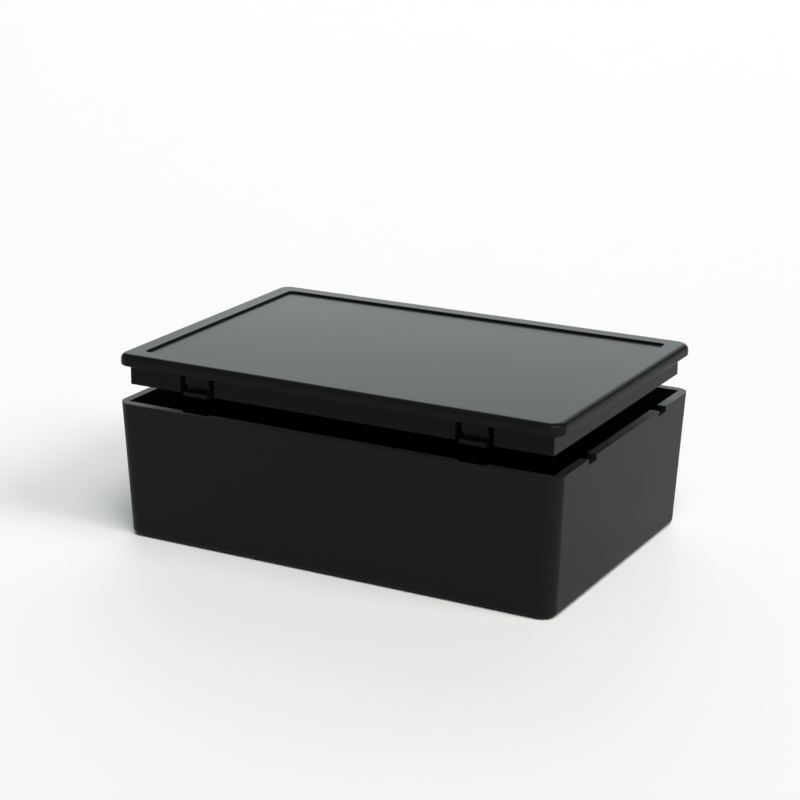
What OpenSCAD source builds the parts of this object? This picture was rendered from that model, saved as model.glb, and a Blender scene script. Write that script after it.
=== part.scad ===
// Snap-fit project box: a moulded tray with leaning walls, and the lid that clips into it.
// The origin is the middle of the tray's underside. X runs along the box, Y across it, Z up.
// The lid stands lifted clear of the tray. It closes straight down, onto the rim.

/* [Tray] */
// Length of the tray at its rim
tray_l = 100; // [95:1:160]
// Width of the tray at its rim
tray_w = 68; // [64:0.5:110]
// Height of the tray
tray_h = 29.4; // [22:0.1:60]
// Thickness of the walls
wall_t = 1.9; // [1.7:0.1:2.4]
// Thickness of the floor
floor_t = 2; // [1.5:0.1:3]
// How far each wall leans in from the rim down to the foot
wall_lean = 1.3; // [0.8:0.1:1.6]
// Outside radius of the upright corners
corner_r = 3; // [2.5:0.1:5]
// Inside radius of the upright corners
inner_r = 0.4; // [0.4:0.1:2]
// Radius of the rounding round the foot
foot_r = 1.4; // [0.6:0.1:1.4]

/* [Lid] */
// Thickness of the plate
plate_t = 2.5; // [2.2:0.1:4]
// Radius of the plate's upper edge
plate_top_r = 1.25; // [0.6:0.05:1.5]
// Radius of the plate's lower edge
plate_low_r = 0.4; // [0.2:0.1:0.6]
// Distance from the plate's edge to the sunk panel
panel_inset = 4.3; // [3:0.1:8]
// Depth of the sunk panel
panel_depth = 0.45; // [0.3:0.05:1]
// Radius of the sunk panel's corners
panel_r = 1.2; // [0.6:0.1:3]
// Reach of the skirt below the plate
skirt_h = 4.25; // [3.8:0.05:5]
// Thickness of the skirt
skirt_t = 1.6; // [1.5:0.1:2]
// Clearance between the skirt's lower edge and the tray's walls, with the lid closed
skirt_gap = 0.1; // [0.1:0.05:0.25]
// Height of the open lid above its closed place
lift = 7.95; // [0:0.05:40]

/* [Clips] */
// Distance of each clip from the middle of the long side
clip_x = 31.35; // [20:0.05:34]
// Width of a clip's tongue
clip_w = 5.5; // [4:0.1:8]
// Width of the slot on each side of a tongue
slot_w = 1.3; // [1:0.1:2]
// Height of plain skirt above the slots
slot_top = 0.35; // [0.2:0.05:0.6]
// How far the barb stands out from the skirt
barb_out = 1; // [0.6:0.05:1]
// Height of the barb's face
barb_h = 0.6; // [0.4:0.1:0.8]
// Depth of the relief above the barb
relief_depth = 0.8; // [0.4:0.1:1]
// Height of the relief above the barb
relief_h = 1.35; // [0.8:0.05:1.8]
// Reach of the barb's lead-in below the skirt
lead_in = 0.5; // [0.3:0.1:0.6]
// Room beside and below a barb in the tray's channel
barb_room = 0.45; // [0.3:0.05:0.8]
// Depth of the catch step above a closed barb
catch_step = 0.25; // [0.1:0.05:0.3]
// Room between the catch step and a closed barb
catch_room = 0.15; // [0.1:0.05:0.4]

/* [Prising notches] */
// Distance of each notch from the middle of the short side
notch_y = 18.1; // [8:0.1:24]
// Width of a notch
notch_w = 3.9; // [2:0.1:8]
// Depth of a notch below the rim
notch_h = 1.2; // [0.8:0.1:2.5]

/* [Board posts] */
// Distance between posts along the box
post_span_x = 80; // [40:1:80]
// Distance between posts across the box
post_span_y = 48; // [30:1:48]
// Height of the posts above the floor
post_h = 5; // [3:0.5:12]
// Diameter of a post
post_d = 5.6; // [4.5:0.1:7]
// Diameter of the pilot hole for a board screw
pilot_d = 2.5; // [1.8:0.1:3]

/* [Hidden] */
$fn = 96;
black = "#1c1c1d";
// Step in of a leaning wall for each millimetre down, to a round thousandth
slope = floor(1000 * wall_lean / tray_h) / 1000;
// How far a cutter runs past the surface that it opens
over = 1;
// How far a joined piece is sunk into the piece that carries it
root = 0.5;
// How far a corner's rounding stands proud, so that it crosses the faces beside it cleanly
blend = 0.001;
// The same for the rounding round the foot
foot_blend = 0.008;

// A length cut to a whole micron, so that pieces which share it meet exactly
function micron(x) = floor(1000 * x) / 1000;
// Half the inside of the tray at height z, from its half length or width at the rim
function cavity(half, z) = half - wall_t - slope * (tray_h - z);
// Half the outside of the upright skirt, from half the length or width of the plate
function skirt(half) = half - micron(wall_t + slope * skirt_h) - skirt_gap;

// Four copies, one for each corner of an oblong whose half sides are x and y
module at_corners(x, y) {
    for (sx = [-1, 1], sy = [-1, 1]) translate([sx * x, sy * y, 0]) children();
}

// Turns an outline in Y and Z into a bar of length l along X, centred
module bar_x(l) {
    rotate([90, 0, 90]) translate([0, 0, -l / 2]) linear_extrude(l) children();
}

// Turns an outline in X and Z into a bar of length l along Y, centred
module bar_y(l) {
    rotate([90, 0, 0]) translate([0, 0, -l / 2]) linear_extrude(l) children();
}

// A block with round upright corners: its children are the outline across it,
// the outline along it, and the outline through a corner's axis
module rounded_block(l, w, r) {
    bar_x(l - 2 * r) children(0);
    bar_y(w - 2 * r) children(1);
    at_corners(l / 2 - r, w / 2 - r) rotate_extrude() children(2);
}

// What an outline has at x above 0, ready to be turned round a corner's axis
module half_outline(size) {
    intersection() {
        children();
        translate([0, -size]) square([size, 3 * size]);
    }
}

// Outline of a leaning block: 2 * half wide at height h, narrowing to the height low
module leaning_outline(half, low, h) {
    foot_x = half - slope * (h - low);
    polygon([[-foot_x, low], [foot_x, low], [half, h], [-half, h]]);
}

// What rounds one upright corner of a leaning block: its axis leans with the corner, and
// passes through the origin
module corner_trim(r, h) {
    // Half the angle between the two faces' normals, as seen along the axis
    a = atan(1 / sqrt(1 + 2 * slope * slope));
    far = r + 2 * over;
    rotate([0, atan(slope * sqrt(2)), 45]) translate([0, 0, -2 * h]) linear_extrude(4 * h)
        difference() {
            polygon([[0, 0], far * [cos(a), -sin(a)], [2 * far, 0], far * [cos(a), sin(a)]]);
            circle(r + blend);
        }
}

// A block l by w at height h, whose four sides lean in going down to the height low
module leaning_block(l, w, low, h, r) {
    // From a face to a corner's axis, on the level
    inset = r * sqrt(1 + slope * slope);
    difference() {
        intersection() {
            bar_x(l) leaning_outline(w / 2, low, h);
            bar_y(w) leaning_outline(l / 2, low, h);
        }
        for (sx = [0, 1], sy = [0, 1]) mirror([sx, 0, 0]) mirror([0, sy, 0])
            translate([l / 2 - inset, w / 2 - inset, h]) corner_trim(r, h - low);
    }
}

// Outline of the space in which the tray's foot is rounded: open above, and below it a
// rounding that meets the leaning side, which is at x = half on the floor
module foot_outline(half) {
    a = atan(slope);
    turn_x = half - micron(foot_r * (1 - sin(a)) / cos(a));
    wide = half + wall_lean + corner_r;
    difference() {
        translate([-wide, 0]) square([2 * wide, tray_h + over]);
        for (s = [0, 1]) mirror([s, 0]) difference() {
            translate([turn_x, -over]) square([wide, over + foot_r * (1 - sin(a))]);
            translate([turn_x, foot_r]) circle(foot_r + foot_blend);
        }
    }
}

// The space in which the tray's foot is rounded. It turns its corners round the place
// where the leaning axis of an upright corner is at the top of the rounding.
module foot_space() {
    half_l = tray_l / 2 - slope * tray_h;
    half_w = tray_w / 2 - slope * tray_h;
    turn_r = micron(corner_r * sqrt(1 + slope * slope) - slope * foot_r);
    rounded_block(2 * half_l, 2 * half_w, turn_r) {
        foot_outline(half_w);
        foot_outline(half_l);
        half_outline(2 * tray_h) foot_outline(turn_r);
    }
}

// Outline of the lid's plate, 2 * half wide, with its upper and lower edges rounded
module plate_outline(half) {
    low = plate_low_r;
    top = plate_top_r;
    polygon([
        [low - half, 0], [half - low, 0], [half, low], [half, plate_t - top],
        [half - top, plate_t], [top - half, plate_t], [-half, plate_t - top], [-half, low]
    ]);
    for (s = [-1, 1]) {
        translate([s * (half - low), low]) circle(low);
        translate([s * (half - top), plate_t - top]) circle(top);
    }
}

// An oblong with round corners
module rounded_oblong(l, w, r) {
    square([l - 2 * r, w], center = true);
    square([l, w - 2 * r], center = true);
    for (sx = [-1, 1], sy = [-1, 1]) translate([sx * (l / 2 - r), sy * (w / 2 - r)]) circle(r);
}

// Copies for the four clips: its children are drawn for the back long side, at x = 0
module at_clips() {
    for (sx = [-1, 1], side = [0, 180]) rotate(side) translate([sx * clip_x, 0, 0]) children();
}

// The hollow of the tray, open at the rim
module tray_cavity() {
    rim_z = tray_h + over;
    leaning_block(
        2 * cavity(tray_l / 2, rim_z), 2 * cavity(tray_w / 2, rim_z),
        floor_t, rim_z, inner_r
    );
}

// The channel in a long wall that takes a clip's barb, with the catch step above its pocket
module barb_channel() {
    pocket_low = tray_h - skirt_h - lead_in - barb_room;
    pocket_top = tray_h - skirt_h + barb_h + catch_room;
    rim_z = tray_h + over;
    wall_y = function(z) cavity(tray_w / 2, z);
    bar_x(clip_w + 2 * barb_room) polygon([
        [wall_y(pocket_low) - over, pocket_low],
        [wall_y(pocket_low) + barb_out + catch_step, pocket_low],
        [wall_y(pocket_top) + barb_out + catch_step, pocket_top],
        [wall_y(pocket_top) + barb_out, pocket_top],
        [wall_y(rim_z) + barb_out, rim_z],
        [wall_y(rim_z) - over, rim_z]
    ]);
}

// The two notches in the right-hand short side, where a blade lifts the lid
module prising_notches() {
    for (side = [-1, 1])
        translate([tray_l / 2 - wall_t - over, side * notch_y - notch_w / 2, tray_h - notch_h])
            cube([wall_t + 2 * over, notch_w, notch_h + over]);
}

module board_posts() {
    at_corners(post_span_x / 2, post_span_y / 2)
        translate([0, 0, floor_t - root]) cylinder(h = post_h + root, d = post_d);
}

module pilot_holes() {
    at_corners(post_span_x / 2, post_span_y / 2)
        translate([0, 0, floor_t]) cylinder(h = post_h + over, d = pilot_d);
}

module base() {
    color(black) difference() {
        union() {
            difference() {
                intersection() {
                    leaning_block(tray_l, tray_w, -over, tray_h, corner_r);
                    foot_space();
                }
                tray_cavity();
            }
            board_posts();
        }
        pilot_holes();
        at_clips() barb_channel();
        prising_notches();
    }
}

// The lid's plate, with its underside at z = 0 and the panel sunk in its top
module plate() {
    difference() {
        rounded_block(tray_l, tray_w, corner_r) {
            plate_outline(tray_w / 2);
            plate_outline(tray_l / 2);
            half_outline(corner_r + plate_t) plate_outline(corner_r);
        }
        translate([0, 0, plate_t - panel_depth]) linear_extrude(panel_depth + over)
            rounded_oblong(tray_l - 2 * panel_inset, tray_w - 2 * panel_inset, panel_r);
    }
}

// The skirt all round under the plate, cut away where the clips are
module skirt_ring() {
    in_r = 0.5;
    half_l = skirt(tray_l / 2);
    half_w = skirt(tray_w / 2);
    gap_w = clip_w + 2 * slot_w;
    difference() {
        translate([0, 0, -skirt_h]) linear_extrude(skirt_h + root)
            rounded_oblong(2 * half_l, 2 * half_w, inner_r - skirt_gap);
        translate([0, 0, -skirt_h - over]) linear_extrude(skirt_h + over)
            rounded_oblong(2 * (half_l - skirt_t), 2 * (half_w - skirt_t), in_r);
        at_clips() translate([-gap_w / 2, half_w - skirt_t - over, -skirt_h - over])
            cube([gap_w, skirt_t + 2 * over, skirt_h + over - slot_top]);
    }
}

// A clip's tongue on the back long side: flush at its root, then relieved, then the barb
module clip_tongue() {
    face_y = skirt(tray_w / 2);
    back_y = face_y - skirt_t;
    barb_top = barb_h - skirt_h;
    relief_top = barb_top + relief_h;
    bar_x(clip_w) polygon([
        [back_y, root],
        [face_y, root],
        [face_y, relief_top],
        [face_y - relief_depth, relief_top],
        [face_y - relief_depth, barb_top],
        [face_y + barb_out, barb_top],
        [face_y + barb_out, -skirt_h],
        [face_y + barb_out - lead_in, -skirt_h - lead_in],
        [back_y, -skirt_h - lead_in]
    ]);
}

module lid() {
    color(black) translate([0, 0, tray_h + lift]) {
        plate();
        skirt_ring();
        at_clips() clip_tongue();
    }
}

base();
lid();
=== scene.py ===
import math

import bpy
from mathutils import Matrix, Vector

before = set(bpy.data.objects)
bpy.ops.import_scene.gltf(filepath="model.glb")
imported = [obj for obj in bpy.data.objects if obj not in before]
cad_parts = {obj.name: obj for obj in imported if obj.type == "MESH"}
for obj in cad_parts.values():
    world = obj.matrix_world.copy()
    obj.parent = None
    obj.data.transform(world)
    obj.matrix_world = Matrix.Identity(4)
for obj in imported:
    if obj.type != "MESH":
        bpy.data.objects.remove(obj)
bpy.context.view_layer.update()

# A moulded ABS project box: an open tray, and the snap-in lid lifted clear of it.
# Lengths are in metres, and MM turns millimetres into them. Angles are in degrees.

MM = 0.001

# Camera: it looks down at the near right corner of the box.
VIEW_TURN = 29.933              # round from straight ahead, towards +X
VIEW_RISE = 16.975              # above level
VIEW_DISTANCE = 470.70 * MM
VIEW_ASIDE = -18.217 * MM       # where the lens points, right of the origin
VIEW_ABOVE = 27.203 * MM        # and above it
VIEW_SHIFT = 0.10114            # the picture is framed to the right of where the lens points
LENS_MM = 99.284
SENSOR_MM = 36
CLIP_NEAR = 0.01
CLIP_FAR = 20

# Moulded ABS. The tray has a slightly duller skin than the lid, and both are nearly black.
# Their index of refraction is set well under solid ABS's 1.54, because this box reflects
# less than bare ABS would.
TRAY_COLOUR = "#19191A"
TRAY_ROUGHNESS = 0.36
TRAY_IOR = 1.15
LID_COLOUR = "#171718"
LID_ROUGHNESS = 0.22
LID_IOR = 1.125
GRAIN = 0.35 * MM               # the mould's spark-eroded grain
GRAIN_DEPTH = 0.004 * MM
FLOW = 38 * MM                  # patches of slightly changing gloss
FLOW_CHANGE = 0.02              # how far the roughness goes either way in them
EDGE_ROUND = 0.05 * MM          # the softness that a mould leaves on a sharp edge

# The surface that the box stands on.
BOARD_COLOUR = "#F8F8F8"
BOARD_ROUGHNESS = 0.6
BOARD_CHANGE = 0.04
BOARD_IOR = 1.2
BOARD_TOOTH = 0.8 * MM
BOARD_TOOTH_DEPTH = 0.004 * MM
BOARD_HALF = 4.0

# Surroundings, as radiance: a dim room with a low white wall all round, and a lit backdrop
# above it, behind the box on its left.
ROOM_LIGHT = 0.03
WALL_LIGHT = 0.97
WALL_COLOUR = "#FFFFFF"
WALL_TOP = 10                   # above level, where the wall starts to fade
WALL_FADE = 15                  # and where it has faded out
GLOW_LIGHT = 1.82
GLOW_COLOUR = "#F2FDFF"
GLOW_TURN = -21                 # round from straight behind, towards +X
GLOW_RISE = 22                  # above level
GLOW_CORE = 8                   # from its middle to where it starts to fade
GLOW_EDGE = 36                  # and to where it has faded out


def linear(hex_colour):
    """An sRGB hex colour as linear RGBA."""
    def channel(text):
        c = int(text, 16) / 255
        return c / 12.92 if c <= 0.04045 else ((c + 0.055) / 1.055) ** 2.4
    return tuple(channel(hex_colour[i:i + 2]) for i in (1, 3, 5)) + (1.0,)


def direction(turn, rise):
    """The unit vector turn degrees round from +Y towards +X, and rise degrees above level."""
    turn, rise = math.radians(turn), math.radians(rise)
    return (math.sin(turn) * math.cos(rise), math.cos(turn) * math.cos(rise), math.sin(rise))


def add(tree, kind, settings=None, **inputs):
    """Adds a node with its settings. An input is a value, or another node's output to link.

    An input's name has _ for each space, and _0 or _1 is the input with that number."""
    made = tree.nodes.new(kind)
    for name, value in (settings or {}).items():
        setattr(made, name, value)
    for name, value in inputs.items():
        numbered = name[0] == "_" and name[1:].isdigit()
        socket = made.inputs[int(name[1:]) if numbered else name.replace("_", " ")]
        if isinstance(value, bpy.types.NodeSocket):
            tree.links.new(value, socket)
        else:
            socket.default_value = value
    return made


def new_material(name):
    material = bpy.data.materials.new(name)
    material.use_nodes = True
    material.node_tree.nodes.clear()
    return material


def noise(tree, place, size, detail, fineness):
    """Uneven noise in real space, whose largest lumps are about size across."""
    return add(tree, "ShaderNodeTexNoise", {"noise_dimensions": "3D"},
               Vector=place, Scale=1 / size, Detail=detail, Roughness=fineness).outputs["Fac"]


def uneven(tree, pattern, middle, change):
    """A roughness that follows a noise pattern, from middle - change to middle + change."""
    return add(tree, "ShaderNodeMapRange", {},
               Value=pattern, From_Min=0.3, From_Max=0.7,
               To_Min=middle - change, To_Max=middle + change).outputs["Result"]


def finish_material(tree, colour, ior, roughness, normal):
    shader = add(tree, "ShaderNodeBsdfPrincipled", {},
                 Base_Color=linear(colour), IOR=ior, Roughness=roughness, Normal=normal)
    add(tree, "ShaderNodeOutputMaterial", {}, Surface=shader.outputs["BSDF"])


def moulded_abs(name, colour, roughness, ior):
    """Moulded ABS: a nearly black body colour under a satin skin.

    The mould's spark-eroded grain breaks the reflection up a little, slow changes of gloss
    come from the way the melt filled the mould, and no sharp edge is quite sharp."""
    material = new_material(name)
    tree = material.node_tree
    place = add(tree, "ShaderNodeTexCoord").outputs["Object"]
    grain = noise(tree, place, GRAIN, 3.0, 0.6)
    flow = noise(tree, place, FLOW, 2.0, 0.5)
    edges = add(tree, "ShaderNodeBevel", {"samples": 8}, Radius=EDGE_ROUND)
    bump = add(tree, "ShaderNodeBump", {}, Height=grain,
               Distance=GRAIN_DEPTH, Strength=1.0, Normal=edges.outputs["Normal"])
    finish_material(tree, colour, ior, uneven(tree, flow, roughness, FLOW_CHANGE),
                    bump.outputs["Normal"])
    return material


def coated_board():
    """Coated white board: nearly matt, with the faint tooth of its coating."""
    material = new_material("coated_white_board")
    tree = material.node_tree
    place = add(tree, "ShaderNodeTexCoord").outputs["Object"]
    tooth = noise(tree, place, BOARD_TOOTH, 2.0, 0.5)
    bump = add(tree, "ShaderNodeBump", {}, Height=tooth,
               Distance=BOARD_TOOTH_DEPTH, Strength=1.0)
    finish_material(tree, BOARD_COLOUR, BOARD_IOR,
                    uneven(tree, tooth, BOARD_ROUGHNESS, BOARD_CHANGE), bump.outputs["Normal"])
    return material


def dress_cad_nodes():
    """Gives each moulding its finish. The shapes stay just as the solids have them."""
    tray = moulded_abs("moulded_abs_tray", TRAY_COLOUR, TRAY_ROUGHNESS, TRAY_IOR)
    cover = moulded_abs("moulded_abs_lid", LID_COLOUR, LID_ROUGHNESS, LID_IOR)
    for node, material in (("base", tray), ("lid", cover)):
        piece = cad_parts[node]
        piece.data.materials.clear()
        piece.data.materials.append(material)


def make_camera():
    turn = math.radians(VIEW_TURN)
    back = Vector(direction(180 - VIEW_TURN, VIEW_RISE))
    right = Vector((math.cos(turn), math.sin(turn), 0))
    up = back.cross(right)
    data = bpy.data.cameras.new("camera")
    data.lens, data.sensor_width, data.shift_x = LENS_MM, SENSOR_MM, VIEW_SHIFT
    data.clip_start, data.clip_end = CLIP_NEAR, CLIP_FAR
    camera = bpy.data.objects.new("camera", data)
    place = right * VIEW_ASIDE + up * VIEW_ABOVE + back * VIEW_DISTANCE
    camera.matrix_world = Matrix((
        (right.x, up.x, back.x, place.x),
        (right.y, up.y, back.y, place.y),
        (right.z, up.z, back.z, place.z),
        (0, 0, 0, 1)))
    bpy.context.scene.collection.objects.link(camera)
    bpy.context.scene.camera = camera


def make_floor():
    mesh = bpy.data.meshes.new("floor")
    half = BOARD_HALF
    mesh.from_pydata([(-half, -half, 0), (half, -half, 0), (half, half, 0), (-half, half, 0)],
                     [], [(0, 1, 2, 3)])
    floor = bpy.data.objects.new("floor", mesh)
    bpy.context.scene.collection.objects.link(floor)
    floor.data.materials.append(coated_board())


def fade(tree, value, low, high, from_light, to_light):
    """Goes smoothly from one light to the other as value goes from low to high."""
    return add(tree, "ShaderNodeMapRange", {"interpolation_type": "SMOOTHSTEP"},
               Value=value, From_Min=low, From_Max=high,
               To_Min=from_light, To_Max=to_light).outputs["Result"]


def make_surroundings():
    world = bpy.data.worlds.new("studio")
    bpy.context.scene.world = world
    world.use_nodes = True
    tree = world.node_tree
    tree.nodes.clear()
    way = add(tree, "ShaderNodeTexCoord").outputs["Generated"]
    nearness = add(tree, "ShaderNodeVectorMath", {"operation": "DOT_PRODUCT"},
                   _0=way, _1=direction(GLOW_TURN, GLOW_RISE)).outputs["Value"]
    glow = fade(tree, nearness, math.cos(math.radians(GLOW_EDGE)),
                math.cos(math.radians(GLOW_CORE)), 0.0, GLOW_LIGHT)
    height = add(tree, "ShaderNodeSeparateXYZ", {}, Vector=way).outputs["Z"]
    wall = fade(tree, height, math.sin(math.radians(WALL_TOP)),
                math.sin(math.radians(WALL_FADE)), WALL_LIGHT, ROOM_LIGHT)
    lit = add(tree, "ShaderNodeBackground", {}, Color=linear(GLOW_COLOUR), Strength=glow)
    white = add(tree, "ShaderNodeBackground", {}, Color=linear(WALL_COLOUR), Strength=wall)
    both = add(tree, "ShaderNodeAddShader", {}, _0=lit.outputs[0], _1=white.outputs[0])
    add(tree, "ShaderNodeOutputWorld", {}, Surface=both.outputs[0])


def soft_lamp(name, towards, spread, level, colour):
    """A wide bank of light far away, so that the whole floor is lit evenly.

    towards points at it, spread is how wide it looks, in degrees, and level is its light in
    watts a square metre."""
    data = bpy.data.lights.new(name, "SUN")
    data.angle, data.energy = math.radians(spread), level
    data.color = linear(colour)[:3]
    lamp = bpy.data.objects.new(name, data)
    lamp.rotation_mode = "QUATERNION"
    lamp.rotation_quaternion = Vector(towards).to_track_quat("Z", "Y")
    bpy.context.scene.collection.objects.link(lamp)


make_camera()
dress_cad_nodes()
make_floor()
make_surroundings()
# The key comes from the right and throws the shadow. The fill comes from above the viewer.
soft_lamp("key_lamp", towards=(1.08, -0.03, 0.88), spread=26, level=1.43, colour="#FFFCF5")
soft_lamp("fill_lamp", towards=(0.45, -0.5, 1.23), spread=32, level=1.92, colour="#FFFFFF")

bpy.context.scene.view_settings.view_transform = "Standard"
